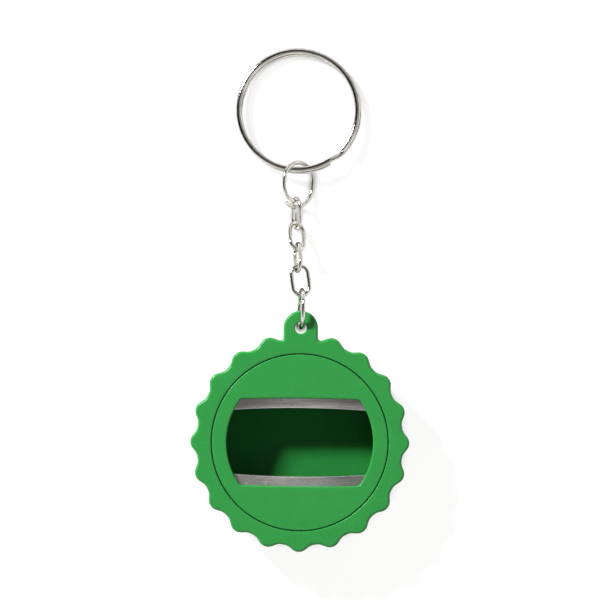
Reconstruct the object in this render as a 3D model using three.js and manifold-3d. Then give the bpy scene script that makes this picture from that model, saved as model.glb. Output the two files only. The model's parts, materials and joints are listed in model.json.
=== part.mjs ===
// Keychain bottle opener in the shape of a crown cap.
//
// A scalloped plastic shell holds a steel opener plate under a round snap-in cover. The cover's
// window shows the plate's two lips and the cavity that a bottle's cap enters. A jump ring in the
// shell's tab carries four chain links, a second jump ring and a split key ring.
//
// Millimetres, +Z up. The opener lies on its back with the chain stretched out along +Y. The
// origin is the centre of the shell's flat back face, which rests on the surface at z = 0.

import * as THREE from "three";
import { mergeVertices } from "three/addons/utils/BufferGeometryUtils.js";
import Module from "manifold-3d";

const wasm = await Module();
wasm.setup();

// ---- Driving dimensions: shell ----
const bodyHeight = 12;
const scallopCount = 20;
const rimValleyRadius = 24.85;
const rimPeakRadius = 26.3;
const valleyWidth = 1.5; // 1 is a plain cosine wave; more makes the valleys wider
const peakRoundness = 1.35; // 1 is a plain cosine wave; more makes the peaks blunter
const backFaceRadius = 20.8; // the flat that the opener lies on
const shoulderFillet = 2.6; // from the back face round to the skirt
const skirtBend = { inset: 0.5, height: 6.4 }; // where the skirt steepens, inside the rim's valleys
const skirtTopHeight = 9.3; // above this the scallops have their full depth
const edgeChamfer = 0.35;
const backWall = 1.6;
const pocketRadius = 21.35; // holds the cover and the plate
const seatHeight = 9; // the ledge that the plate lies on
const cavityRadius = 19.3;

// ---- Driving dimensions: tab ----
const tabHoleY = 27.5;
const tabHoleRadius = 1.4;
const tabRadius = 4.16; // its round end, concentric with the hole
const tabThickness = 3.2; // its front is flush with the rim
const tabRoot = pocketRadius + 1; // where its sides start, inside the rim

// ---- Driving dimensions: cover ----
const coverRadius = 21.05;
const coverThickness = 1.5;
const coverChamfer = 0.2;
const windowRadius = 17.6; // the window's two round sides, concentric with the cover
const windowHalfHeight = 10.55;
const windowBow = 0.25; // how far the window's long edges bow outwards at the middle
const windowCorner = 1;

// ---- Driving dimensions: plate ----
const plateRadius = 20.9;
const plateThickness = 1.45;
const plateGap = 0.02; // under the plate, and a little more over it
const mouthRadius = 18.6;
const mouthHalfHeight = 8.2; // at the middle, between the two lips
const mouthBow = 0.6;
const mouthCorner = 1.5;

// ---- Driving dimensions: the cover's four pegs, through the plate into the shell's bosses ----
const pegX = 8;
const pegY = 15.2;
const pegRadius = 1.15;
const pegTip = 4.6; // height of the pegs' ends
const pegClearance = 0.35;
const bossWall = 0.9;
const socketFloor = 4.2;

// ---- Driving dimensions: chain ----
const wireDiameter = 1;
const hookPlay = 0.3; // play where one wire hooks over another
const cutGap = 0.12; // between the two ends of a bent wire
const chainLink = { length: 8.3, width: 4.85 }; // outside
const jumpRing = { length: 10.1, width: 9.4 };
const sprungJumpRing = { length: 11.1, width: 9.8 };
const linkCut = 14.3; // along the link's wire, at the middle of its right side
const jumpRingCut = 7;
// The sprung ring's wire runs from `start` to `end` past the middle of its near bend. Its ends lie
// inside and outside the ring's line by `tuck` and `spread`, reached over `stretch` of wire.
const sprungWire = { start: 0.9, end: 2.7, tuck: 0.5, spread: 0.95, stretch: 9 };
const jumpRingInHoleX = 0.05; // where the lower jump ring's wire passes through the tab
const jumpRingInHoleY = 27.6;

// ---- Driving dimensions: split ring ----
const splitRingRadius = 15; // outside
const splitWireWidth = 1.3; // across the ring
const splitWireHeight = 0.86; // along the ring's axis
const coilPitch = 0.9; // from one coil's centre to the other's
const splitPlay = 0.52; // between the near side and the upper jump ring
const coilStart = -59; // degrees, where the lower coil starts; it runs clockwise seen from above
const coilTravel = 703; // degrees from end to end
const crossoverStart = 344; // degrees of travel at which the wire starts to rise to the upper coil
const crossoverSpan = 15;
const splitRingSlope = -4.1; // degrees; its far side lies lower than the side in the jump ring
const splitRingX = -1.1; // of its centre

// ---- Facets ----
const columnsPerScallop = 8;
const shoulderSteps = 4;
const tabSteps = 10; // round its end
const openingSteps = 12; // along each arc of a disc's edge and opening
const roundSides = { pocket: 96, cavity: 72, tabHole: 24, boss: 20, peg: 16 };
const wireSides = 8;
const wireSteps = { closedRing: 32, sprungRing: 40, splitRing: 104 };

const past = 1; // how far a cutter reaches past what it cuts
const weldDistance = 1e-4; // corners nearer than this are one corner
const degrees = THREE.MathUtils.degToRad;

// ---- Colours and finishes ----
const greenPlastic = () =>
  new THREE.MeshStandardMaterial({ color: 0x2f9e47, roughness: 0.32, metalness: 0 });
const plateSteel = () =>
  new THREE.MeshStandardMaterial({ color: 0xa29c9a, roughness: 0.4, metalness: 1 });
const nickelWire = () =>
  new THREE.MeshStandardMaterial({ color: 0xd6d4cc, roughness: 0.12, metalness: 1 });

const opener = new THREE.Group();

function addMesh(name, geometry, material) {
  const mesh = new THREE.Mesh(geometry, material);
  mesh.name = name;
  opener.add(mesh);
  return mesh;
}

// ---- Booleans ----
function solidOf(geometry) {
  const bare = geometry.index ? geometry.toNonIndexed() : geometry.clone();
  bare.deleteAttribute("normal");
  bare.deleteAttribute("uv");
  const merged = mergeVertices(bare, weldDistance);
  const mesh = new wasm.Mesh({
    numProp: 3,
    vertProperties: merged.attributes.position.array,
    triVerts: new Uint32Array(merged.index.array),
  });
  return new wasm.Manifold(mesh);
}

function geometryOf(solid) {
  const { vertProperties, triVerts } = solid.getMesh();
  const geometry = new THREE.BufferGeometry();
  geometry.setAttribute("position", new THREE.BufferAttribute(vertProperties, 3));
  geometry.setIndex(new THREE.BufferAttribute(triVerts, 1));
  geometry.computeVertexNormals();
  return geometry;
}

// An upright cylinder between two heights.
function post(radius, low, high, sides, x = 0, y = 0) {
  const geometry = new THREE.CylinderGeometry(radius, radius, high - low, sides);
  geometry.rotateX(Math.PI / 2);
  geometry.translate(x, y, (low + high) / 2);
  return solidOf(geometry);
}

// A shape extruded upwards from one height to another, with its edges chamfered.
function slab(shape, low, high, chamfer, curveSegments) {
  const geometry = new THREE.ExtrudeGeometry(shape, {
    depth: high - low - 2 * chamfer,
    bevelEnabled: chamfer > 0,
    bevelThickness: chamfer,
    bevelSize: chamfer,
    bevelOffset: -chamfer,
    bevelSegments: 1,
    curveSegments,
  });
  geometry.translate(0, 0, low + chamfer);
  return solidOf(geometry);
}

// ---- Outlines ----
// A barrel-shaped opening: two sides on a circle round the centre, two long edges on wide arcs
// that bow outwards, and rounded corners that touch both.
function barrelOutline(radius, halfHeight, bow, corner) {
  const bowRadius = (radius * radius - halfHeight * halfHeight + bow * bow) / (2 * bow);
  const bowCentre = halfHeight - bowRadius;
  const inside = (radius - corner) ** 2;
  const cornerY = (bowCentre ** 2 + inside - (bowRadius - corner) ** 2) / (2 * bowCentre);
  const cornerX = Math.sqrt(inside - cornerY ** 2);
  const side = Math.atan2(cornerY, cornerX);
  const edge = Math.atan2(cornerY - bowCentre, cornerX);
  const outline = new THREE.Path();
  outline.absarc(0, 0, radius, -side, side, false);
  outline.absarc(cornerX, cornerY, corner, side, edge, false);
  outline.absarc(0, bowCentre, bowRadius, edge, Math.PI - edge, false);
  outline.absarc(-cornerX, cornerY, corner, Math.PI - edge, Math.PI - side, false);
  outline.absarc(0, 0, radius, Math.PI - side, Math.PI + side, false);
  outline.absarc(-cornerX, -cornerY, corner, Math.PI + side, Math.PI + edge, false);
  outline.absarc(0, -bowCentre, bowRadius, Math.PI + edge, 2 * Math.PI - edge, false);
  outline.absarc(cornerX, -cornerY, corner, -edge, -side, false);
  return outline;
}

function discWithOpening(radius, opening) {
  const disc = new THREE.Shape();
  for (let quarter = 0; quarter < 4; quarter++) {
    const start = (quarter * Math.PI) / 2;
    disc.absarc(0, 0, radius, start, start + Math.PI / 2, false);
  }
  disc.holes.push(opening);
  return disc;
}

function pegPlaces() {
  return [-1, 1].flatMap((sx) => [-1, 1].map((sy) => [sx * pegX, sy * pegY]));
}

// ---- Shell ----
// How far the scallops stand out of the valley line, from 0 at a valley to 1 at a peak.
function scallop(angle) {
  const wave = Math.pow(0.5 + 0.5 * Math.cos(scallopCount * angle), valleyWidth);
  return 1 - Math.pow(1 - wave, peakRoundness);
}

// The skin of a crown cap: a turned profile whose skirt is pushed out into scallops, which grow
// from nothing at the shoulder to full depth near the rim.
function crownSkin() {
  const profile = [new THREE.Vector2(0, 0)];
  const shoulder = new THREE.EllipseCurve(
    backFaceRadius, shoulderFillet, shoulderFillet, shoulderFillet, -Math.PI / 2, 0,
  );
  profile.push(...shoulder.getPoints(shoulderSteps));
  profile.push(new THREE.Vector2(rimValleyRadius - skirtBend.inset, skirtBend.height));
  profile.push(new THREE.Vector2(rimValleyRadius, skirtTopHeight));
  profile.push(new THREE.Vector2(rimValleyRadius, bodyHeight - edgeChamfer));
  profile.push(new THREE.Vector2(rimValleyRadius - edgeChamfer, bodyHeight));
  profile.push(new THREE.Vector2(0, bodyHeight));
  const geometry = new THREE.LatheGeometry(profile, scallopCount * columnsPerScallop);
  geometry.rotateX(Math.PI / 2);
  const place = geometry.attributes.position;
  for (let i = 0; i < place.count; i++) {
    const x = place.getX(i);
    const y = place.getY(i);
    const radius = Math.hypot(x, y);
    if (radius < backFaceRadius / 2) continue;
    const grown = THREE.MathUtils.smoothstep(place.getZ(i), shoulderFillet, skirtTopHeight);
    const depth = (rimPeakRadius - rimValleyRadius) * grown * scallop(Math.atan2(y, x));
    place.setXY(i, (x * (radius + depth)) / radius, (y * (radius + depth)) / radius);
  }
  return solidOf(geometry);
}

function tab() {
  const outline = new THREE.Shape();
  outline.moveTo(tabRadius, tabRoot);
  outline.absarc(0, tabHoleY, tabRadius, 0, Math.PI, false);
  outline.lineTo(-tabRadius, tabRoot);
  return slab(outline, bodyHeight - tabThickness, bodyHeight, edgeChamfer, tabSteps);
}

function shell() {
  const { pocket, cavity, tabHole, boss, peg } = roundSides;
  const pegHole = pegRadius + pegClearance;
  const bossRadius = pegHole + bossWall;
  let solid = crownSkin().add(tab());
  solid = solid.subtract(post(pocketRadius, seatHeight, bodyHeight + past, pocket));
  solid = solid.subtract(post(cavityRadius, backWall, seatHeight + past, cavity));
  solid = solid.subtract(post(tabHoleRadius, 0, bodyHeight + past, tabHole, 0, tabHoleY));
  for (const [x, y] of pegPlaces()) {
    solid = solid.add(post(bossRadius, backWall / 2, seatHeight, boss, x, y));
    solid = solid.subtract(post(pegHole, socketFloor, seatHeight + past, peg, x, y));
  }
  return geometryOf(solid);
}

// ---- Opener plate: a steel disc whose mouth has two lips nearer than the window's edges ----
function openerPlate() {
  const low = seatHeight + plateGap;
  const high = low + plateThickness;
  const pegHole = pegRadius + pegClearance;
  const mouth = barrelOutline(mouthRadius, mouthHalfHeight, mouthBow, mouthCorner);
  let solid = slab(discWithOpening(plateRadius, mouth), low, high, 0, openingSteps);
  for (const [x, y] of pegPlaces()) {
    solid = solid.subtract(post(pegHole, low - past, high + past, roundSides.peg, x, y));
  }
  return geometryOf(solid);
}

// ---- Cover: the round front with the window, and the pegs that hold it on ----
function cover() {
  const low = bodyHeight - coverThickness;
  const window = barrelOutline(windowRadius, windowHalfHeight, windowBow, windowCorner);
  const disc = discWithOpening(coverRadius, window);
  let solid = slab(disc, low, bodyHeight, coverChamfer, openingSteps);
  for (const [x, y] of pegPlaces()) {
    solid = solid.add(post(pegRadius, pegTip, low + coverThickness / 2, roundSides.peg, x, y));
  }
  return geometryOf(solid);
}

// ---- Bent wire ----
// The centreline of a wire bent into a long ring in its own XY plane. The bend that hooks onto the
// member before it has its middle at the origin, and the ring runs along +Y. The wire starts at
// `start` along the line from the origin, runs clockwise up the left side and down the right, and
// ends `end` past the origin. A sprung ring's wire is tucked in where it starts and spreads
// outwards where it ends.
class RingWire extends THREE.Curve {
  constructor({ length, width }, { start, end, tuck = 0, spread = 0, stretch = 1 }) {
    super();
    this.bend = (width - wireDiameter) / 2;
    this.straight = length - width;
    this.round = 2 * Math.PI * this.bend + 2 * this.straight;
    Object.assign(this, { start, end, tuck, spread, stretch });
  }

  getPoint(t, target = new THREE.Vector3()) {
    const finish = this.round + this.end;
    const travel = THREE.MathUtils.lerp(this.start, finish, t);
    const s = travel % this.round;
    const leftSide = (Math.PI / 2) * this.bend;
    const farBend = leftSide + this.straight;
    const rightSide = farBend + Math.PI * this.bend;
    const up = THREE.MathUtils.clamp(s - leftSide, 0, this.straight);
    const down = THREE.MathUtils.clamp(s - rightSide, 0, this.straight);
    const angle = (s - up - down) / this.bend;
    const { smoothstep } = THREE.MathUtils;
    const tucked = 1 - smoothstep(travel, this.start, this.start + this.stretch);
    const spreading = smoothstep(travel, finish - this.stretch, finish);
    const radius = this.bend - this.tuck * tucked + this.spread * spreading;
    const middle = this.bend + up - down;
    return target.set(-radius * Math.sin(angle), middle - radius * Math.cos(angle), 0);
  }
}

// The centreline of a split ring: two coils joined by a short crossover.
class SplitRingWire extends THREE.Curve {
  getPoint(t, target = new THREE.Vector3()) {
    const travel = coilTravel * t;
    const angle = degrees(coilStart - travel);
    const risen = THREE.MathUtils.smoothstep(
      travel, crossoverStart, crossoverStart + crossoverSpan,
    );
    const radius = splitRingRadius - splitWireWidth / 2;
    return target.set(
      radius * Math.cos(angle), radius * Math.sin(angle), coilPitch * (risen - 0.5),
    );
  }
}

function wireGeometry(curve, width, height, steps) {
  const section = new THREE.Shape();
  section.absellipse(0, 0, width / 2, height / 2, 0, 2 * Math.PI, false);
  return new THREE.ExtrudeGeometry(section, {
    steps, extrudePath: curve, bevelEnabled: false, curveSegments: wireSides / 2,
  });
}

// A ring whose ends meet at `cutAt` along its wire.
function closedRing(size, cutAt) {
  const curve = new RingWire(size, { start: cutAt + cutGap / 2, end: cutAt - cutGap / 2 });
  return wireGeometry(curve, wireDiameter, wireDiameter, wireSteps.closedRing);
}

// A ring sprung open: its last stretch lies outside its first.
function sprungRing(size) {
  const curve = new RingWire(size, sprungWire);
  return wireGeometry(curve, wireDiameter, wireDiameter, wireSteps.sprungRing);
}

// ---- Chain, from the tab to the split ring ----
// Each member hooks onto the one before it. slope, yaw and roll are in degrees: slope is how its
// far end rises, yaw turns it left seen from above, and roll lifts its right side.
const linkWire = () => closedRing(chainLink, linkCut);
const chain = [
  { name: "lower_jump_ring", size: jumpRing, geometry: closedRing(jumpRing, jumpRingCut),
    slope: -9, yaw: -0.5, roll: 83.5 },
  { name: "chain_link_1", size: chainLink, geometry: linkWire(), slope: -8, yaw: 8, roll: -4 },
  { name: "chain_link_2", size: chainLink, geometry: linkWire(), slope: -33, yaw: 4, roll: 71 },
  { name: "chain_link_3", size: chainLink, geometry: linkWire(), slope: -27, yaw: 2, roll: -38 },
  { name: "chain_link_4", size: chainLink, geometry: linkWire(), slope: 16, yaw: 0, roll: 64 },
  { name: "upper_jump_ring", size: sprungJumpRing, geometry: sprungRing(sprungJumpRing),
    slope: -5, yaw: -5, roll: -38 },
];

function orientation({ slope, yaw, roll }) {
  const turn = new THREE.Euler(degrees(slope), degrees(-roll), degrees(yaw), "ZXY");
  return new THREE.Quaternion().setFromEuler(turn);
}

// A member's object sits on its hinge: the middle of the wire that it hooks over. The lower jump
// ring's sits on the middle of its own wire, in the tab's hole.
const hinge = new THREE.Vector3(
  jumpRingInHoleX, jumpRingInHoleY, bodyHeight - tabThickness / 2,
);
for (const { name, size, geometry, ...turn } of chain) {
  const hook = name === "lower_jump_ring" ? 0 : wireDiameter + hookPlay;
  geometry.translate(0, -hook, 0);
  const mesh = addMesh(name, geometry, nickelWire());
  mesh.position.copy(hinge);
  mesh.quaternion.copy(orientation(turn));
  const reach = new THREE.Vector3(0, size.length - wireDiameter - hook, 0);
  hinge.add(reach.applyQuaternion(mesh.quaternion));
}

// ---- Split ring: its near side lies inside the upper jump ring's far bend ----
const splitRing = addMesh(
  "split_ring",
  wireGeometry(new SplitRingWire(), splitWireWidth, splitWireHeight, wireSteps.splitRing),
  nickelWire(),
);
const splitHook = (wireDiameter + splitWireWidth) / 2 + splitPlay;
const splitReach = splitRingRadius - splitWireWidth / 2 - splitHook;
splitRing.quaternion.copy(orientation({ slope: splitRingSlope, yaw: 0, roll: 0 }));
splitRing.position.copy(
  new THREE.Vector3(0, splitReach, 0).applyQuaternion(splitRing.quaternion).add(hinge),
);
splitRing.position.x = splitRingX;

addMesh("shell", shell(), greenPlastic());
addMesh("opener_plate", openerPlate(), plateSteel());
addMesh("cover", cover(), greenPlastic());

export default opener;
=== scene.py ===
"""Keychain bottle opener in the shape of a crown cap, with its chain and split key ring.

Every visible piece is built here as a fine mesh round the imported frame: a fluted plastic shell
with a tab, a cover with a window, a steel opener plate, and nickel-plated bent wire.
"""

import json
import math
from math import cos, pi, radians, sin

import bpy
import bmesh
from mathutils import Matrix, Vector


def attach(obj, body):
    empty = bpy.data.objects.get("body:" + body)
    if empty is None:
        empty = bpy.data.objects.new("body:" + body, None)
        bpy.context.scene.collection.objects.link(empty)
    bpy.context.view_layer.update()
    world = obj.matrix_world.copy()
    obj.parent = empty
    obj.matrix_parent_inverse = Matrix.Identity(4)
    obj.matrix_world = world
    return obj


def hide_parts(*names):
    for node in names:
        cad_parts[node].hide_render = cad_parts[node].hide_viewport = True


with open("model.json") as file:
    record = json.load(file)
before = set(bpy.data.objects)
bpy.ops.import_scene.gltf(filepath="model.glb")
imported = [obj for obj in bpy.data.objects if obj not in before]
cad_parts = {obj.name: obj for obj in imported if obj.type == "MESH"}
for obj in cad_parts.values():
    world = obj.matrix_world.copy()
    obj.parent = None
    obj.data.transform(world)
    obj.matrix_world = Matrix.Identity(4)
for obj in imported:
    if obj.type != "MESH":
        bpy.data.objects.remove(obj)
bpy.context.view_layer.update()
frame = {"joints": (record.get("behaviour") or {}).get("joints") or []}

MM = 0.001

# Sizes and places are in millimetres unless a comment says otherwise.

# ---- Shell ----
BODY_HEIGHT = 12.0
SCALLOPS = 20
VALLEY_RADIUS = 24.85
PEAK_RADIUS = 26.3
VALLEY_WIDTH = 1.5  # over 1 makes the valleys wider than a cosine wave's
PEAK_ROUNDNESS = 1.35  # over 1 makes the peaks blunter
BACK_RADIUS = 20.8
SHOULDER = 2.6  # radius of the round between the back face and the skirt
FLUTE_TOP = 9.3  # above this the scallops have their full depth
EDGE_ROUND = 0.65
BACK_WALL = 1.6
POCKET_RADIUS = 21.35
SEAT_HEIGHT = 9.0
SEAT_CHAMFER = 0.1
CAVITY_RADIUS = 19.3
CAVITY_ROUND = 0.8  # between the cavity's floor and its wall
SEAM_ROUND = 0.2

# ---- Tab ----
TAB_Y = 27.5
TAB_RADIUS = 4.16
TAB_UNDERSIDE = 8.8
TAB_ROUND = 0.4  # along its lower edge
NECK_ROUND = 0.75
HOLE_RADIUS = 1.4
HOLE_LIP = 0.3  # radius of the round at its rims

# ---- Cover, plate and pegs ----
COVER_RADIUS = 21.12
COVER_UNDERSIDE = 10.5
WINDOW = {"radius": 17.6, "half_height": 10.55, "bow": 0.25, "corner": 1.0}
WINDOW_ROUND = 0.4
PLATE_RADIUS = 20.9
PLATE_LOW = 9.02
PLATE_HIGH = 10.47
PLATE_ROUND = 0.12
MOUTH = {"radius": 18.6, "half_height": 8.2, "bow": 0.6, "corner": 1.5}
MOUTH_ROUND = 0.32
PEG_X, PEG_Y = 8.0, 15.2
PEG_RADIUS = 1.15
PEG_HOLE_RADIUS = 1.5
PEG_TIP = 4.6
PEG_CHAMFER = 0.3
BOSS_RADIUS = 2.4
BOSS_CHAMFER = 0.15
BOSS_FOOT = 0.5  # radius of the fillet round its foot
SOCKET_FLOOR = 4.2

# ---- Wire ----
WIRE = 1.0
WIRE_END_ROUND = 0.12
HOOK = 1.3  # between the centres of two wires where one hooks over the other
CHAIN_LINK = {"length": 8.3, "width": 4.85}
JUMP_RING = {"length": 10.1, "width": 9.4}
SPRUNG_RING = {"length": 11.1, "width": 9.8}
CUT_GAP = 0.09
LINK_CUT = 14.3  # along the link's wire
JUMP_RING_CUT = 7
SPRUNG_START, SPRUNG_END = 0.9, 2.7  # past the middle of the near bend
TUCK, SPREAD = 0.5, 0.95  # how far the sprung ring's ends lie in and out
STRETCH = 9  # of wire over which each end leaves the ring's line
BULGE, PINCH = 0.05, 0.16  # how a link widens at its middle and narrows towards its ends
LOWER_RING_IN_HOLE = Vector((0.05, 27.6, 10.4))
# slope, yaw and roll of each member of the chain, in degrees
CHAIN = {
    "lower_jump_ring": (-9, -0.5, 83.5),
    "chain_link_1": (-8, 8, -4),
    "chain_link_2": (-33, 4, 71),
    "chain_link_3": (-27, 2, -38),
    "chain_link_4": (16, 0, 64),
    "upper_jump_ring": (-5, -5, -38),
}
SPLIT_RADIUS = 15.0
SPLIT_WIDTH, SPLIT_HEIGHT = 1.3, 0.86
SPLIT_ROUNDNESS = 0.9  # 1 makes the section an ellipse; less squares it
SPLIT_END_ROUND = 0.1
COIL_PITCH = 0.9
COIL_START = -59  # degrees; the wire then runs clockwise seen from above
COIL_TRAVEL = 703
CROSSOVER_START, CROSSOVER_SPAN = 344, 15
LOWER_COIL_SHIFT = Vector((0.35, -0.38, 0))
SPLIT_SLOPE = -4.1

# ---- Mesh steps ----
COLUMNS_PER_SCALLOP = 26
OUTLINE_STEP = 0.35  # longest step along a tab's side or an opening's edge
NECK_STEPS = 8
TAB_STEPS = 44  # round its end
FLOOR_RINGS = (0.4, 6, 12)  # radii of the rings of points across the cavity's floor
BACK_RINGS = (14, 7, 0.4)
FRONT_RING = 22.4
WALL_ROW = 5.5  # heights of the extra rows up the cavity's wall and round the rim
RIM_ROW = 10.4
SKIRT_TOP, SKIRT_STEP, SKIRT_ROWS = 8.2, 0.5, 12
SHOULDER_ROWS = 9
TUCK_UNDER = 0.02  # the skirt's first row is this far below the tab
FLAT_MARGIN = 0.6  # of even faces kept round an opening
SINK = 0.4  # how far a boss reaches into the floor that it stands on
PEG_SINK = 0.5  # and a peg into the cover
PAST = 1  # how far a cutter reaches past what it cuts
AXIS_RING = 0.1  # radius of the flat that closes a turned solid at its axis
SMOOTH_ANGLE, WIRE_SMOOTH_ANGLE = 40, 60

# ---- Studio: angles in degrees, lengths in metres, power in watts ----
DARK_AZIMUTH, DARK_ELEVATION = 150, 49  # middle of the dark patch
DARK_CORE, DARK_EDGE = 29, 48  # from its middle
DARK_LEVEL = 0.02
HORIZON_LOW, HORIZON_HIGH = 2, 10  # the sky is dim below this
HORIZON_LEVEL = 0.3
WINDOWS_LOW, WINDOWS_HIGH = 34, 50  # the walls are bright below this
WINDOW_GAIN = 2.2
CLOUD_LEVEL = 0.3  # the darkest of the soft clouds
STUDIO_TINT = (1.0, 0.985, 0.96)
WORLD_STRENGTH = 0.5
KEY = {"azimuth": 136, "elevation": 30.5, "distance": 1.2, "size": 0.18, "power": 40}
GLINT = {"azimuth": 136, "elevation": 43, "distance": 1.2, "size": 0.3, "power": 9}
FILL = {"azimuth": -40, "elevation": 25, "distance": 1.3, "size": 0.9, "power": 0.4}
FLOOR_SIZE = 3.0
MIDDLE_Y = 34.0  # of the floor, and of the object as the lights see it, in millimetres
# middle and size of a painted shadow on the floor behind the tab's hole
HOLE_SHADE = Vector((0, TAB_Y + 0.75 - MIDDLE_Y, 0)) * MM  # from the floor's middle
HOLE_SHADE_CORE, HOLE_SHADE_EDGE = 0.0008, 0.0024
CAMERA_LENS, CAMERA_SENSOR = 400, 36  # millimetres
CAMERA_PLACE = (-0.00025, 0.0342, 1.612)
CAMERA_TURN = 0.5


# ======================================================================= node trees

class Nodes:
    """A node tree, with short calls to add and join nodes."""

    def __init__(self, tree, coordinates):
        self.tree = tree
        self.place = self.add("ShaderNodeTexCoord").outputs[coordinates]

    def add(self, kind, **inputs):
        node = self.tree.nodes.new(kind)
        for name, value in inputs.items():
            self.put(node.inputs[name.replace("_", " ")], value)
        return node

    def put(self, socket, value):
        if isinstance(value, bpy.types.NodeSocket):
            self.tree.links.new(value, socket)
        else:
            socket.default_value = value

    def stretched(self, scale):
        """The object's own coordinates, stretched: a low number is long and a high one short."""
        mapping = self.add("ShaderNodeMapping", Vector=self.place, Scale=scale)
        return mapping.outputs["Vector"]

    def noise(self, scale, detail=3.0, roughness=0.5, vector=None):
        node = self.add("ShaderNodeTexNoise", Scale=scale, Detail=detail, Roughness=roughness)
        self.put(node.inputs["Vector"], vector or self.place)
        return node.outputs["Fac"]

    def ramp(self, value, stops):
        node = self.add("ShaderNodeValToRGB", Fac=value)
        ramp = node.color_ramp
        while len(ramp.elements) < len(stops):
            ramp.elements.new(0.5)
        for element, (position, colour) in zip(ramp.elements, stops):
            element.position = position
            element.color = (*colour, 1)
        return node.outputs["Color"]

    def between(self, value, low, high, out_low=0.0, out_high=1.0, smooth=False):
        """The value carried from low..high to out_low..out_high, and held within them."""
        node = self.add("ShaderNodeMapRange", Value=value)
        if smooth:
            node.interpolation_type = "SMOOTHSTEP"
        node.inputs["From Min"].default_value = low
        node.inputs["From Max"].default_value = high
        node.inputs["To Min"].default_value = out_low
        node.inputs["To Max"].default_value = out_high
        return node.outputs["Result"]

    def mix(self, factor, first, second):
        node = self.tree.nodes.new("ShaderNodeMix")
        node.data_type = "RGBA"
        self.put(node.inputs[0], factor)
        self.put(node.inputs[6], first)
        self.put(node.inputs[7], second)
        return node.outputs[2]

    def maths(self, operation, first, second=0.0):
        node = self.add("ShaderNodeMath")
        node.operation = operation
        self.put(node.inputs[0], first)
        self.put(node.inputs[1], second)
        return node.outputs[0]

    def times(self, first, second):
        return self.maths("MULTIPLY", first, second)

    def vector_maths(self, operation, first, second=(0, 0, 0)):
        """The outputs of an operation on two vectors: a Vector and a Value."""
        node = self.add("ShaderNodeVectorMath")
        node.operation = operation
        self.put(node.inputs[0], first)
        self.put(node.inputs[1], second)
        return node.outputs

    def bump(self, height, strength, distance, normal=None):
        node = self.add("ShaderNodeBump", Height=height, Strength=strength, Distance=distance)
        if normal is not None:
            self.put(node.inputs["Normal"], normal)
        return node.outputs["Normal"]


class MaterialNodes(Nodes):
    """A new material's node tree. It works in the object's own coordinates, in metres."""

    def __init__(self, name):
        self.material = bpy.data.materials.new(name)
        self.material.use_nodes = True
        super().__init__(self.material.node_tree, "Object")
        self.shader = self.tree.nodes["Principled BSDF"]

    def set(self, **values):
        """Sets or joins the shader's sockets, named with _ for each space."""
        for name, value in values.items():
            self.put(self.shader.inputs[name.replace("_", " ")], value)

    def inside_shell(self):
        """1 in the cavity under the plate, 0 elsewhere."""
        parts = self.add("ShaderNodeSeparateXYZ", Vector=self.place).outputs
        across = self.add("ShaderNodeCombineXYZ", X=parts["X"], Y=parts["Y"]).outputs["Vector"]
        radius = self.vector_maths("LENGTH", across)["Value"]
        reach = (CAVITY_RADIUS + 0.3) * MM
        within = self.between(radius, reach, reach - 0.0001)
        below = self.between(parts["Z"], (SEAT_HEIGHT - 0.2) * MM, (SEAT_HEIGHT - 0.4) * MM)
        above = self.between(parts["Z"], 0.8 * BACK_WALL * MM, 0.9 * BACK_WALL * MM)
        return self.times(self.times(within, below), above)

    def scratches(self, scale, turn, width, length=0.03):
        """Thin straight hairlines, 1 on a scratch and 0 off it, turned about Z in degrees."""
        turned = self.add("ShaderNodeMapping", Vector=self.place)
        turned.inputs["Rotation"].default_value = (0, 0, radians(turn))
        turned.inputs["Scale"].default_value = (scale * length, scale, scale)
        wobble = self.noise(scale * 0.2, 2.0)
        shifted = self.vector_maths("ADD", turned.outputs["Vector"], wobble)["Vector"]
        cells = self.add("ShaderNodeTexVoronoi", Scale=1.0)
        cells.feature = "DISTANCE_TO_EDGE"
        self.put(cells.inputs["Vector"], shifted)
        return self.between(cells.outputs["Distance"], 0.0, width, 1.0, 0.0)


# ======================================================================= materials

def green_plastic():
    """Moulded semi-gloss ABS: a slightly mottled green with faint flow marks and hairlines. The
    unpolished inside of the shell is matt, and painted shade darkens its colour there."""
    deep, bright = (0.019, 0.195, 0.0375), (0.021, 0.207, 0.040)
    scuffed, painted_cavity_shade = (0.20, 0.48, 0.22, 1), (0.0, 0.03, 0.004, 1)
    n = MaterialNodes("green_plastic")
    colour = n.ramp(n.noise(220, 4.0, 0.6), [(0.3, deep), (0.7, bright)])
    wear = n.between(n.noise(260, 2.0), 0.6, 0.75)
    hairlines = n.times(n.scratches(900, 28, 0.02), wear)
    worn = n.mix(n.times(hairlines, 0.02), colour, scuffed)
    inside = n.inside_shell()
    patches = n.between(n.noise(160, 5.0, 0.6), 0.3, 0.7, 0.22, 0.29)
    flow = n.bump(n.noise(90, 2.0), 0.05, 0.0006)
    n.set(
        # painted shade: in the cavity the colour is mixed a third of the way to a dark green
        Base_Color=n.mix(n.times(inside, 0.33), worn, painted_cavity_shade),
        Roughness=n.maths("ADD", patches, n.times(inside, 0.3)),
        Specular_IOR_Level=n.between(inside, 0, 1, 0.5, 0.06),
        Normal=n.bump(n.noise(2600, 2.0), 0.03, 0.00004, flow),
        IOR=1.5,
        Subsurface_Weight=0.05,
        Subsurface_Radius=(0.3, 1.0, 0.35),
        Subsurface_Scale=0.0012,
    )
    return n.material


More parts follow.
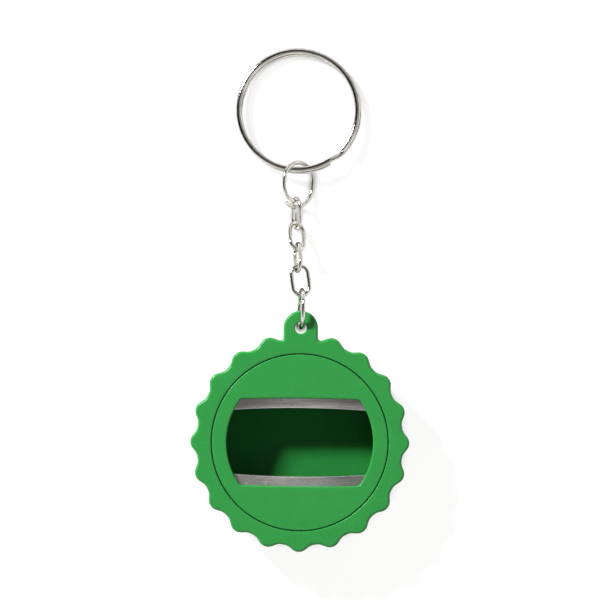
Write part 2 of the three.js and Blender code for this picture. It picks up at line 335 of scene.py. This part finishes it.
def brushed_steel():
    """Stamped sheet steel, brushed along its length, with a few scratches and specks. A painted
    sheen makes its tint palest in a soft band across the middle of the grain."""
    grain_low, grain_high = (0.80, 0.78, 0.765), (0.97, 0.955, 0.94)
    cloud_low, cloud_high = (0.62, 0.60, 0.59), (0.97, 0.955, 0.94)
    far, stain, scratched = (0.36, 0.355, 0.34, 1), (0.16, 0.14, 0.13, 1), (0.95, 0.93, 0.91, 1)
    # middle and reach of a band of painted sheen
    sheen_middle, sheen_reach = -0.0005, 0.013  # along X
    n = MaterialNodes("opener_steel")
    grain = n.noise(1.0, 6.0, 0.75, n.stretched((60, 5200, 5200)))
    bands = n.noise(1.0, 3.0, 0.6, n.stretched((160, 420, 420)))
    brushed = n.ramp(grain, [(0.3, grain_low), (0.7, grain_high)])
    cloudy = n.mix(0.45, brushed, n.ramp(bands, [(0.35, cloud_low), (0.65, cloud_high)]))
    along = n.add("ShaderNodeSeparateXYZ", Vector=n.place).outputs["X"]
    off_middle = n.maths("ABSOLUTE", n.maths("ADD", along, -sheen_middle))
    painted_sheen_falloff = n.between(off_middle, 0.0, sheen_reach, smooth=True)
    # painted sheen: away from the band's middle the tint is mixed towards a darker grey
    painted_sheen_tint = n.mix(n.times(painted_sheen_falloff, 0.7), cloudy, far)
    specks = n.between(n.noise(2300, 2.0, 0.4), 0.66, 0.72)
    spotted = n.mix(n.times(specks, 0.6), painted_sheen_tint, stain)
    kept = n.times(n.scratches(520, 64, 0.014), n.between(n.noise(300, 1.0), 0.48, 0.58))
    clouds = n.between(n.noise(120, 3.0), 0.3, 0.7, 0, 0.06)
    n.set(
        Base_Color=n.mix(kept, spotted, scratched),
        Metallic=0.92,
        Roughness=n.maths("ADD", n.between(grain, 0.3, 0.7, 0.22, 0.32), clouds),
        Normal=n.bump(kept, 0.4, 0.00003, n.bump(grain, 0.35, 0.00002)),
        Anisotropic=0.5,
    )
    return n.material


def nickel():
    """Bright nickel plate over drawn wire, with painted shade darkening it where it turns away:
    fine grain, small dents and duller patches."""
    dull, bright = (0.66, 0.63, 0.58), (0.93, 0.91, 0.86)
    painted_edge_shade = (0.10, 0.095, 0.085, 1)
    n = MaterialNodes("nickel_wire")
    colour = n.ramp(n.noise(700, 4.0, 0.65), [(0.25, dull), (0.6, bright)])
    # painted shade: the colour darkens towards the wire's edges, where it turns away
    turned_away = n.add("ShaderNodeLayerWeight", Blend=0.5).outputs["Facing"]
    edge = n.between(turned_away, 0.42, 0.7, 0.0, 0.92)
    dents = n.bump(n.noise(520, 2.0), 0.1, 0.0002)
    n.set(
        Base_Color=n.mix(edge, colour, painted_edge_shade),
        Metallic=1.0,
        Specular_Tint=(0.35, 0.34, 0.32, 1),
        Roughness=n.between(n.noise(900, 3.0), 0.3, 0.75, 0.08, 0.18),
        Normal=n.bump(n.noise(3600, 3.0), 0.12, 0.00003, dents),
    )
    return n.material


def white_floor():
    """A paper sweep that glows a little, so that shadows on it are faint. Painted contact shade
    dims it where the opener nearly touches it, and a small painted shadow lies behind the tab's
    hole."""
    shade, dim, light = (0.004, 0.02, 0.006, 1), (0.21, 0.21, 0.21), (0.23, 0.23, 0.23)
    n = MaterialNodes("floor")
    # painted shadow: a dark patch on the floor behind the tab's hole
    from_shade = n.vector_maths("DISTANCE", n.place, HOLE_SHADE)["Value"]
    unshaded = n.between(from_shade, HOLE_SHADE_CORE, HOLE_SHADE_EDGE)
    # painted contact shade: the emission fades where the opener nearly touches the floor
    open_sky = n.add("ShaderNodeAmbientOcclusion", Distance=0.005)
    open_sky.samples = 8
    painted_contact_shade_glow = n.between(open_sky.outputs["AO"], 0.25, 0.8, 0.0, 0.88)
    n.set(
        Base_Color=n.mix(unshaded, shade, n.ramp(n.noise(6, 2.0), [(0.3, dim), (0.7, light)])),
        Roughness=0.9,
        Specular_IOR_Level=0.0,
        Emission_Color=(1, 1, 0.995, 1),
        Emission_Strength=n.times(painted_contact_shade_glow, unshaded),
    )
    return n.material


# ======================================================================= mesh helpers

def new_object(name, mesh, material, smooth_angle=SMOOTH_ANGLE):
    piece = bpy.data.objects.new(name, mesh)
    bpy.context.scene.collection.objects.link(piece)
    mesh.materials.append(material)
    mesh.shade_smooth()
    mesh.set_sharp_from_angle(angle=radians(smooth_angle))
    return piece


def sheet_of_rows(name, rows, wrap_rows=False):
    """A closed mesh through rows of points in millimetres. Each row closes on itself. The first
    and last rows end in flat caps, or with wrap_rows the last row joins the first."""
    bm = bmesh.new()
    made = [[bm.verts.new(Vector(p) * MM) for p in row] for row in rows]
    pairs = list(zip(made, made[1:]))
    if wrap_rows:
        pairs.append((made[-1], made[0]))
    count = len(rows[0])
    for near, far in pairs:
        for i in range(count):
            j = (i + 1) % count
            bm.faces.new((near[i], near[j], far[j], far[i]))
    if not wrap_rows:
        bm.faces.new(made[0])
        bm.faces.new(made[-1])
    bmesh.ops.recalc_face_normals(bm, faces=bm.faces)
    mesh = bpy.data.meshes.new(name)
    bm.to_mesh(mesh)
    bm.free()
    return mesh


def turned(name, profile, x, y, sides):
    """A solid turned about an upright axis from (radius, height) points, with small flat ends."""
    ring = [2 * pi * i / sides for i in range(sides)]
    rows = []
    for radius, height in profile:
        rows.append([(x + radius * cos(a), y + radius * sin(a), height) for a in ring])
    return sheet_of_rows(name, rows)


def joined(piece, other, operation):
    """Adds or cuts away another mesh object, exactly, and removes it."""
    boolean = piece.modifiers.new("cut", "BOOLEAN")
    boolean.operation = operation
    boolean.solver = "EXACT"
    boolean.object = other
    bpy.context.view_layer.update()
    evaluated = piece.evaluated_get(bpy.context.evaluated_depsgraph_get())
    mesh = bpy.data.meshes.new_from_object(evaluated)
    piece.modifiers.clear()
    piece.data = mesh
    bpy.data.objects.remove(other)


def tool(mesh):
    """A scratch object for a boolean."""
    piece = bpy.data.objects.new("tool", mesh)
    bpy.context.scene.collection.objects.link(piece)
    return piece


def smooth_flats(piece):
    """Shades the rounds smoothly and keeps the flats flat."""
    piece.data.shade_smooth()
    piece.data.set_sharp_from_angle(angle=radians(SMOOTH_ANGLE))
    weighted = piece.modifiers.new("flats", "WEIGHTED_NORMAL")
    weighted.keep_sharp = True
    weighted.weight = 90


def smoothstep(value, low, high):
    t = min(max((value - low) / (high - low), 0.0), 1.0)
    return t * t * (3 - 2 * t)


def rounded(steps):
    """Quarter-turn fractions for a rounded edge: pairs of (1 - sin, 1 - cos) from flat to wall."""
    turns = [pi / 2 * k / steps for k in range(steps + 1)]
    return [(1 - sin(t), 1 - cos(t)) for t in turns]


def circle(angles, radius, height):
    return [(radius * cos(a), radius * sin(a), height) for a in angles]


def offset(points, normals, distance, height):
    """An outline moved outwards along its normals, at a height."""
    return [(p.x + n.x * distance, p.y + n.y * distance, height) for p, n in zip(points, normals)]


def outward(points):
    """The outward normal at each point of a closed anticlockwise outline."""
    count = len(points)
    normals = []
    for i in range(count):
        along = points[(i + 1) % count] - points[i - 1]
        normals.append(Vector((along.y, -along.x)).normalized())
    return normals


# ======================================================================= outlines

def scallop_radius(angle, growth=1.0):
    wave = (0.5 + 0.5 * cos(SCALLOPS * angle)) ** VALLEY_WIDTH
    wave = 1 - (1 - wave) ** PEAK_ROUNDNESS
    return VALLEY_RADIUS + (PEAK_RADIUS - VALLEY_RADIUS) * growth * wave


def edge_point(angle):
    radius = scallop_radius(angle)
    return (radius * cos(angle), radius * sin(angle))


def beside_tab(step):
    """Angles at which the round of the tab's neck can touch the scallops, so many degrees apart."""
    first, span = 75, 12
    return [radians(first + step * k) for k in range(round(span / step))]


def neck_centre():
    """Centre of the right-hand round between the tab's side and the scallops: a circle that
    touches the side and whose lowest reach just touches the scalloped edge."""
    x = TAB_RADIUS + NECK_ROUND
    low, high = VALLEY_RADIUS - 1, VALLEY_RADIUS + 4
    for _ in range(40):
        y = (low + high) / 2
        nearest = min(math.dist((x, y), edge_point(a)) for a in beside_tab(0.05))
        low, high = (y, high) if nearest < NECK_ROUND else (low, y)
    return Vector((x, y))


def tab_half(centre, touch):
    """The right half of the tab's outline, from the scallops round the neck to the tab's end."""
    foot = Vector(edge_point(touch)) - centre
    heading = math.atan2(foot.y, foot.x)
    span = -pi - heading if heading < 0 else pi - heading
    points = []
    for k in range(NECK_STEPS + 1):
        a = heading + span * k / NECK_STEPS
        points.append((centre.x + NECK_ROUND * cos(a), centre.y + NECK_ROUND * sin(a)))
    side_steps = max(1, round((TAB_Y - centre.y) / OUTLINE_STEP))
    for k in range(1, side_steps):
        points.append((TAB_RADIUS, centre.y + (TAB_Y - centre.y) * k / side_steps))
    for k in range(TAB_STEPS // 2 + 1):
        a = pi * k / TAB_STEPS
        points.append((TAB_RADIUS * cos(a), TAB_Y + TAB_RADIUS * sin(a)))
    return points


def shell_outline():
    """Anticlockwise points of the shell's front edge, from the right-hand neck round the tab and
    then round all the scallops. Each has True if it lies on the tab."""
    centre = neck_centre()
    touch = min(beside_tab(0.02), key=lambda a: math.dist(centre, edge_point(a)))
    right = tab_half(centre, touch)
    tab = right + [(-x, y) for x, y in reversed(right[:-1])]
    points = [(Vector(p), True) for p in tab]
    first, last = pi - touch, touch + 2 * pi
    steps = round((last - first) / (2 * pi) * SCALLOPS * COLUMNS_PER_SCALLOP)
    for k in range(1, steps):
        points.append((Vector(edge_point(first + (last - first) * k / steps)), False))
    return points


def barrel_outline(radius, half_height, bow, corner):
    """Anticlockwise points of a barrel-shaped opening: round sides, bowed long edges, and
    rounded corners that touch both."""
    bow_radius = (radius**2 - half_height**2 + bow**2) / (2 * bow)
    bow_centre = half_height - bow_radius
    inside = (radius - corner) ** 2
    corner_y = (bow_centre**2 + inside - (bow_radius - corner) ** 2) / (2 * bow_centre)
    corner_x = math.sqrt(inside - corner_y**2)
    side = math.atan2(corner_y, corner_x)
    edge = math.atan2(corner_y - bow_centre, corner_x)
    arcs = [
        (0, 0, radius, -side, side),
        (corner_x, corner_y, corner, side, edge),
        (0, bow_centre, bow_radius, edge, pi - edge),
        (-corner_x, corner_y, corner, pi - edge, pi - side),
        (0, 0, radius, pi - side, pi + side),
        (-corner_x, -corner_y, corner, pi + side, pi + edge),
        (0, -bow_centre, bow_radius, pi + edge, 2 * pi - edge),
        (corner_x, -corner_y, corner, -edge, -side),
    ]
    points = []
    for cx, cy, r, start, end in arcs:
        steps = max(6, round(abs(end - start) * r / OUTLINE_STEP))
        for k in range(steps):
            a = start + (end - start) * k / steps
            points.append(Vector((cx + r * cos(a), cy + r * sin(a))))
    return points


# ======================================================================= shell

def skirt_radius(height):
    """Valley radius of the skirt at a height, under the scallops."""
    if height < SHOULDER:
        drop = 1 - height / SHOULDER
        return BACK_RADIUS + SHOULDER * math.sqrt(max(0.0, 1 - drop * drop))
    foot = BACK_RADIUS + SHOULDER
    return foot + (VALLEY_RADIUS - foot) * smoothstep(height, SHOULDER, FLUTE_TOP)


def skirt_point(angle, height):
    growth = smoothstep(height, SHOULDER, FLUTE_TOP)
    radius = skirt_radius(height) + scallop_radius(angle, growth) - VALLEY_RADIUS
    return (radius * cos(angle), radius * sin(angle), height)


def cavity_rows(angles):
    """From the middle of the cavity's floor, up its wall and the pocket's, to the front."""
    rows = [circle(angles, r, BACK_WALL) for r in (*FLOOR_RINGS, CAVITY_RADIUS - CAVITY_ROUND)]
    for across, up in rounded(5)[1:]:
        radius = CAVITY_RADIUS - CAVITY_ROUND * across
        rows.append(circle(angles, radius, BACK_WALL + CAVITY_ROUND * up))
    rows.append(circle(angles, CAVITY_RADIUS, WALL_ROW))
    rows.append(circle(angles, CAVITY_RADIUS, SEAT_HEIGHT - SEAT_CHAMFER))
    rows.append(circle(angles, CAVITY_RADIUS + SEAT_CHAMFER, SEAT_HEIGHT))
    rows.append(circle(angles, POCKET_RADIUS, SEAT_HEIGHT))
    rows.append(circle(angles, POCKET_RADIUS, RIM_ROW))
    for across, down in reversed(rounded(4)):
        radius = POCKET_RADIUS + SEAM_ROUND * across
        rows.append(circle(angles, radius, BODY_HEIGHT - SEAM_ROUND * down))
    return rows


def rim_rows(points, normals, angles, on_tab):
    """Over the front edge and down. The tab's columns turn in under it, while the others go on
    down the skirt."""
    rows = [circle(angles, FRONT_RING, BODY_HEIGHT)]
    for across, down in rounded(6):
        inset = EDGE_ROUND * across
        rows.append(offset(points, normals, -inset, BODY_HEIGHT - EDGE_ROUND * down))
    stages = [(0.0, RIM_ROW)]
    stages += [(TAB_ROUND * down, TAB_UNDERSIDE + TAB_ROUND * up) for up, down in rounded(4)]
    for inset, height in stages:
        edge = offset(points, normals, -inset, height)
        rows.append([
            edge_place if tab else skirt_point(a, height)
            for edge_place, a, tab in zip(edge, angles, on_tab)
        ])
    return rows


def skirt_rows(angles):
    """From just under the tab down the skirt, round the shoulder, to the middle of the back."""
    heights = [TAB_UNDERSIDE - TUCK_UNDER]
    heights += [SKIRT_TOP - SKIRT_STEP * k for k in range(SKIRT_ROWS)]
    for k in reversed(range(SHOULDER_ROWS)):
        heights.append(SHOULDER * (1 - cos(pi / 2 * k / SHOULDER_ROWS)))
    rows = [[skirt_point(a, height) for a in angles] for height in heights]
    rows += [circle(angles, r, 0.0) for r in BACK_RINGS]
    return rows


def shell_rows():
    """Rows of points from the middle of the cavity's floor, up its wall, over the front and down
    the skirt to the middle of the back."""
    outline = shell_outline()
    points = [p for p, _ in outline]
    on_tab = [tab for _, tab in outline]
    angles = [math.atan2(p.y, p.x) for p in points]
    rim = rim_rows(points, outward(points), angles, on_tab)
    return cavity_rows(angles) + rim + skirt_rows(angles)


def peg_places():
    return [(sx * PEG_X, sy * PEG_Y) for sx in (-1, 1) for sy in (-1, 1)]


def tab_hole_cutter():
    """A pin whose ends flare, so that the hole that it cuts has rounded rims."""
    r, lip = HOLE_RADIUS, HOLE_LIP
    top, low = BODY_HEIGHT, TAB_UNDERSIDE
    flare = r + lip + 0.5
    profile = [(flare, low - PAST), (r + lip, low - 0.001)]
    profile += [(r + lip * across, low + lip * up) for across, up in rounded(6)]
    profile += [(r + lip * across, top - lip * down) for down, across in rounded(6)]
    profile.append((flare, top + PAST))
    return turned("tab_hole", profile, 0, TAB_Y, 72)


def boss(x, y):
    """An upright post on the cavity's floor, with a fillet round its foot and a peg's socket."""
    base = BACK_WALL - SINK
    axis = 2 * AXIS_RING
    profile = [(axis, base), (BOSS_RADIUS + BOSS_FOOT, base)]
    for across, up in rounded(4):
        profile.append((BOSS_RADIUS + BOSS_FOOT * across, BACK_WALL + BOSS_FOOT * up))
    profile.append((BOSS_RADIUS, SEAT_HEIGHT - BOSS_CHAMFER))
    profile.append((BOSS_RADIUS - BOSS_CHAMFER, SEAT_HEIGHT))
    profile += [(PEG_HOLE_RADIUS, SEAT_HEIGHT), (PEG_HOLE_RADIUS, SOCKET_FLOOR)]
    profile.append((axis, SOCKET_FLOOR))
    return turned("boss", profile, x, y, 40)


def build_shell(material):
    mesh = sheet_of_rows("shell_skin", shell_rows())
    piece = new_object("shell_body", mesh, material)
    joined(piece, tool(tab_hole_cutter()), "DIFFERENCE")
    for x, y in peg_places():
        joined(piece, tool(boss(x, y)), "UNION")
    smooth_flats(piece)
    return piece


# ======================================================================= cover and plate

def pierced_disc(name, radius, opening, low, high, outer_round, inner_round):
    """A disc with an opening, its edges rounded by the given radii."""
    normals = outward(opening)
    angles = [math.atan2(p.y, p.x) for p in opening]
    flat = inner_round + FLAT_MARGIN

    def outer(across, height):
        return circle(angles, radius - outer_round * across, height)

    def inner(across, height):
        return offset(opening, normals, inner_round * across, height)

    turns = rounded(5)
    rows = [outer(a, high - outer_round * d) for a, d in reversed(turns)]
    rows.append(offset(opening, normals, flat, high))
    rows += [inner(a, high - inner_round * d) for a, d in turns]
    rows += [inner(a, low + inner_round * d) for a, d in reversed(turns)]
    rows.append(offset(opening, normals, flat, low))
    rows += [outer(a, low + outer_round * d) for a, d in turns]
    return sheet_of_rows(name, rows, wrap_rows=True)


def peg(x, y):
    """A round peg under the cover, its tip chamfered."""
    root = COVER_UNDERSIDE + PEG_SINK
    profile = [(AXIS_RING, PEG_TIP), (PEG_RADIUS - PEG_CHAMFER, PEG_TIP)]
    profile += [(PEG_RADIUS, PEG_TIP + PEG_CHAMFER), (PEG_RADIUS, root), (AXIS_RING, root)]
    return turned("peg", profile, x, y, 32)


def build_cover(material):
    opening = barrel_outline(**WINDOW)
    low, high = COVER_UNDERSIDE, BODY_HEIGHT
    rounds = (SEAM_ROUND, WINDOW_ROUND)
    mesh = pierced_disc("cover_skin", COVER_RADIUS, opening, low, high, *rounds)
    piece = new_object("cover_face", mesh, material)
    for x, y in peg_places():
        joined(piece, tool(peg(x, y)), "UNION")
    smooth_flats(piece)
    return piece


def build_plate(material):
    opening = barrel_outline(**MOUTH)
    low, high = PLATE_LOW, PLATE_HIGH
    rounds = (PLATE_ROUND, MOUTH_ROUND)
    mesh = pierced_disc("plate_skin", PLATE_RADIUS, opening, low, high, *rounds)
    piece = new_object("plate_disc", mesh, material)
    for x, y in peg_places():
        profile = [(PEG_HOLE_RADIUS, low - PAST), (PEG_HOLE_RADIUS, high + PAST)]
        joined(piece, tool(turned("peg_hole", profile, x, y, 32)), "DIFFERENCE")
    smooth_flats(piece)
    return piece


# ======================================================================= wire

def ring_point(size, travel, outset=0.0):
    """A point of a ring's centreline in its own plane: the middle of its near bend is the origin,
    it runs along +Y, and the wire goes up the left side."""
    bend = (size["width"] - WIRE) / 2
    straight = size["length"] - size["width"]
    s = travel % (2 * pi * bend + 2 * straight)
    left_side = pi / 2 * bend
    far_bend = left_side + straight
    right_side = far_bend + pi * bend
    up = min(max(s - left_side, 0), straight)
    down = min(max(s - right_side, 0), straight)
    angle = (s - up - down) / bend
    outwards = Vector((-sin(angle), -cos(angle), 0))
    middle = Vector((0, bend + up - down, 0))
    return middle + outwards * (bend + outset), outwards


def ring_length(size):
    return pi * (size["width"] - WIRE) + 2 * (size["length"] - size["width"])


def wire_row(station, section, shrink=1.0, shift=Vector((0, 0, 0))):
    centre, outwards, upwards = station
    middle = centre + shift
    return [middle + outwards * (u * shrink) + upwards * (v * shrink) for u, v in section]


def wire_mesh(name, path, section, end_round):
    """A wire along (centre, outwards, upwards) stations, with its ends rounded over."""
    before = (path[0][0] - path[1][0]).normalized() * end_round
    beyond = (path[-1][0] - path[-2][0]).normalized() * end_round
    tip, shoulder = 0.45, 0.8  # the section's size at the end and just before it
    rows = [wire_row(path[0], section, s, before * (1 - s)) for s in (tip, shoulder)]
    rows += [wire_row(station, section) for station in path]
    rows += [wire_row(path[-1], section, s, beyond * (1 - s)) for s in (shoulder, tip)]
    return sheet_of_rows(name, rows)


def round_section(diameter, sides=20):
    angles = [2 * pi * k / sides for k in range(sides)]
    return [(diameter / 2 * cos(a), diameter / 2 * sin(a)) for a in angles]


def flattened_section(width, height, sides=24):
    """A rolled wire's section: a rounded rectangle, as a superellipse."""
    section = []
    for k in range(sides):
        a = 2 * pi * k / sides
        c, s = cos(a), sin(a)
        section.append((
            width / 2 * math.copysign(abs(c) ** SPLIT_ROUNDNESS, c),
            height / 2 * math.copysign(abs(s) ** SPLIT_ROUNDNESS, s),
        ))
    return section


def closed_ring_path(size, cut_at, bulge=0.0, pinch=0.0, steps=150):
    """A ring or link whose two ends meet at a cut, so far along its wire."""
    length = ring_length(size)
    half = (size["length"] - WIRE) / 2
    start, end = cut_at + CUT_GAP / 2, cut_at + length - CUT_GAP / 2
    path = []
    for k in range(steps + 1):
        centre, outwards = ring_point(size, start + (end - start) * k / steps)
        v = centre.y / half - 1
        centre.x *= 1 + bulge * (1 - v**2) - pinch * v**4
        path.append((centre, outwards, Vector((0, 0, 1))))
    return path


def sprung_ring_path(size, steps=190):
    """A ring sprung open: its last stretch lies outside its first."""
    start, end = SPRUNG_START, ring_length(size) + SPRUNG_END
    path = []
    for k in range(steps + 1):
        travel = start + (end - start) * k / steps
        tucked = TUCK * (1 - smoothstep(travel, start, start + STRETCH))
        spreading = SPREAD * smoothstep(travel, end - STRETCH, end)
        centre, outwards = ring_point(size, travel, spreading - tucked)
        path.append((centre, outwards, Vector((0, 0, 1))))
    return path


def split_ring_path(steps=420):
    """Two coils one over the other, joined by a short crossover."""
    radius = SPLIT_RADIUS - SPLIT_WIDTH / 2
    path = []
    for k in range(steps + 1):
        travel = COIL_TRAVEL * k / steps
        a = radians(COIL_START - travel)
        risen = smoothstep(travel, CROSSOVER_START, CROSSOVER_START + CROSSOVER_SPAN)
        outwards = Vector((cos(a), sin(a), 0))
        centre = outwards * radius + Vector((0, 0, COIL_PITCH * (risen - 0.5)))
        centre += LOWER_COIL_SHIFT * (1 - risen)
        path.append((centre, outwards, Vector((0, 0, 1))))
    return path


def chain_path(name):
    if name == "upper_jump_ring":
        return sprung_ring_path(SPRUNG_RING)
    if name == "lower_jump_ring":
        return closed_ring_path(JUMP_RING, JUMP_RING_CUT)
    return closed_ring_path(CHAIN_LINK, LINK_CUT, BULGE, PINCH)


def turn_of(slope, yaw, roll):
    """The rotation that rolls, then slopes, then yaws a member lying along +Y."""
    yawed = Matrix.Rotation(radians(yaw), 4, "Z")
    sloped = Matrix.Rotation(radians(slope), 4, "X")
    rolled = Matrix.Rotation(radians(-roll), 4, "Y")
    return yawed @ sloped @ rolled


def joint_place(name):
    joint = next(j for j in frame["joints"] if j["child"] == name)
    return Vector(joint["pos_m"]) / MM


def placed(mesh, place, turn, shift):
    mesh.transform(Matrix.Translation(place * MM) @ turn @ Matrix.Translation(shift * MM))


def build_chain(material):
    for name, (slope, yaw, roll) in CHAIN.items():
        if name == "lower_jump_ring":
            place, shift = LOWER_RING_IN_HOLE, Vector((0, 0, 0))
        else:
            place, shift = joint_place(name), Vector((0, -HOOK, 0))
        mesh = wire_mesh(name + "_wire", chain_path(name), round_section(WIRE), WIRE_END_ROUND)
        placed(mesh, place, turn_of(slope, yaw, roll), shift)
        piece = new_object(name + "_wire", mesh, material, WIRE_SMOOTH_ANGLE)
        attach(piece, name)
        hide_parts(name)


def build_split_ring(material):
    section = flattened_section(SPLIT_WIDTH, SPLIT_HEIGHT)
    mesh = wire_mesh("split_ring_wire", split_ring_path(), section, SPLIT_END_ROUND)
    reach = SPLIT_RADIUS - SPLIT_WIDTH / 2
    placed(mesh, joint_place("split_ring"), turn_of(SPLIT_SLOPE, 0, 0), Vector((0, reach, 0)))
    piece = new_object("split_ring_wire", mesh, material, WIRE_SMOOTH_ANGLE)
    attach(piece, "split_ring")
    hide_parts("split_ring")


def build_opener(green, steel):
    for build, material, node in (
        (build_shell, green, "shell"),
        (build_cover, green, "cover"),
        (build_plate, steel, "opener_plate"),
    ):
        piece = build(material)
        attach(piece, "opener")
        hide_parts(node)


# ======================================================================= stage

def direction(azimuth, elevation):
    """The unit vector at an azimuth, anticlockwise from +X, and an elevation."""
    a, e = radians(azimuth), radians(elevation)
    return Vector((cos(a) * cos(e), sin(a) * cos(e), sin(e)))


def area_light(name, azimuth, elevation, distance, size, power):
    """A soft square light aimed at the middle of the object."""
    data = bpy.data.lights.new(name, "AREA")
    data.shape = "SQUARE"
    data.size = size
    data.energy = power
    light = bpy.data.objects.new(name, data)
    bpy.context.scene.collection.objects.link(light)
    toward = direction(azimuth, elevation)
    light.location = Vector((0, MIDDLE_Y * MM, 0)) + toward * distance
    light.rotation_euler = (-toward).to_track_quat("-Z", "Y").to_euler()
    return light


def build_world():
    """A white studio with a dark patch high on one side and bright walls all round below it. The
    sky dims towards the horizon, and soft grey clouds stand for the things in the room."""
    world = bpy.data.worlds.new("studio")
    world.use_nodes = True
    n = Nodes(world.node_tree, "Generated")
    patch = n.vector_maths("DOT_PRODUCT", n.place, direction(DARK_AZIMUTH, DARK_ELEVATION))
    core, edge = cos(radians(DARK_CORE)), cos(radians(DARK_EDGE))
    ceiling = n.between(patch["Value"], core, edge, DARK_LEVEL, smooth=True)
    clouds = n.between(n.noise(2.6, 1.0), 0.38, 0.62, CLOUD_LEVEL)
    height = n.add("ShaderNodeSeparateXYZ", Vector=n.place).outputs["Z"]
    low, high = sin(radians(HORIZON_LOW)), sin(radians(HORIZON_HIGH))
    skyline = n.between(height, low, high, HORIZON_LEVEL, smooth=True)
    low, high = sin(radians(WINDOWS_LOW)), sin(radians(WINDOWS_HIGH))
    windows = n.between(height, low, high, WINDOW_GAIN, smooth=True)
    tint = n.add("ShaderNodeVectorMath")
    tint.operation = "SCALE"
    tint.inputs[0].default_value = STUDIO_TINT
    n.put(tint.inputs["Scale"], n.times(n.times(ceiling, clouds), n.times(skyline, windows)))
    background = n.tree.nodes["Background"]
    n.put(background.inputs["Color"], tint.outputs[0])
    background.inputs["Strength"].default_value = WORLD_STRENGTH
    bpy.context.scene.world = world


def build_stage():
    bpy.ops.mesh.primitive_plane_add(size=FLOOR_SIZE, location=(0, MIDDLE_Y * MM, 0))
    floor = bpy.context.object
    floor.name = "floor"
    floor.data.materials.append(white_floor())
    # the key lights the surfaces and the glint shows only in what they mirror
    area_light("key", **KEY).visible_glossy = False
    area_light("glint", **GLINT).visible_diffuse = False
    area_light("fill", **FILL)
    build_world()
    bpy.context.scene.view_settings.view_transform = "Standard"


def build_camera():
    """Straight over the object, with the chain up the picture."""
    data = bpy.data.cameras.new("camera")
    data.lens = CAMERA_LENS
    data.sensor_width = CAMERA_SENSOR
    camera = bpy.data.objects.new("camera", data)
    bpy.context.scene.collection.objects.link(camera)
    camera.location = CAMERA_PLACE
    camera.rotation_euler = (0, 0, radians(CAMERA_TURN))
    bpy.context.scene.camera = camera


build_stage()
build_camera()
build_opener(green_plastic(), brushed_steel())
wire = nickel()
build_chain(wire)
build_split_ring(wire)
